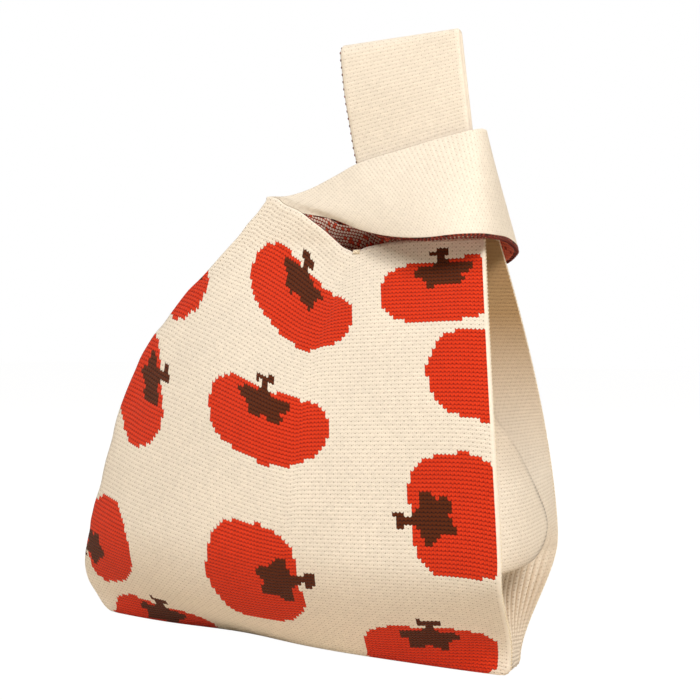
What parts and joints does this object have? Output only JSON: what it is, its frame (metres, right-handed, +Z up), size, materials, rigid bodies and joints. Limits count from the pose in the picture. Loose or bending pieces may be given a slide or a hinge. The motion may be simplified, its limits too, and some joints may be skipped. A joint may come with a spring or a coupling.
{
  "type": "knitted tote bag",
  "caption": "Filled knitted tote bag on a narrow base, with pleated side gussets and a wide long handle drawn through a short handle that wraps round its neck.",
  "frame": {"origin": "middle of the underside of the linking strip along the base, where the bag stands", "axes": "+Z up, +X to the right along the base towards the long handle's side, +Y to the back; the front panel faces -Y"},
  "size_m": [0.3202, 0.1158, 0.3629],
  "materials": {
    "jacquard_knit": "cream knit with red and brown fruit, seen as stitches",
    "plain_knit": "plain cream knit",
    "linking_yarn": "cream yarn"
  },
  "bodies": {
    "bag_body": {"front_panel": "jacquard_knit", "back_panel": "jacquard_knit", "right_gusset": "plain_knit", "left_gusset": "plain_knit", "bottom_seam": "linking_yarn", "front_right_seam": "linking_yarn", "back_right_seam": "linking_yarn", "front_left_seam": "linking_yarn", "back_left_seam": "linking_yarn", "front_mouth_tack": "linking_yarn", "back_mouth_tack": "linking_yarn"},
    "short_handle": {"short_handle_front": "jacquard_knit", "short_handle_back": "jacquard_knit", "short_handle_join": "linking_yarn"},
    "long_handle": {"long_handle_front": "jacquard_knit", "long_handle_back": "jacquard_knit", "long_handle_join": "linking_yarn"}
  },
  "joints": [
    {"name": "long_handle_swing", "type": "hinge", "parent": "bag_body", "child": "long_handle", "pos_m": [0.08816, 0, 0.3055], "axis": [0.9838, 0, 0.1791], "range_deg": [-72, 72]},
    {"name": "short_handle_swing", "type": "hinge", "parent": "bag_body", "child": "short_handle", "pos_m": [0.0001, 0, 0.271], "axis": [0, -1, 0], "range_deg": [-3, 3]}
  ]
}
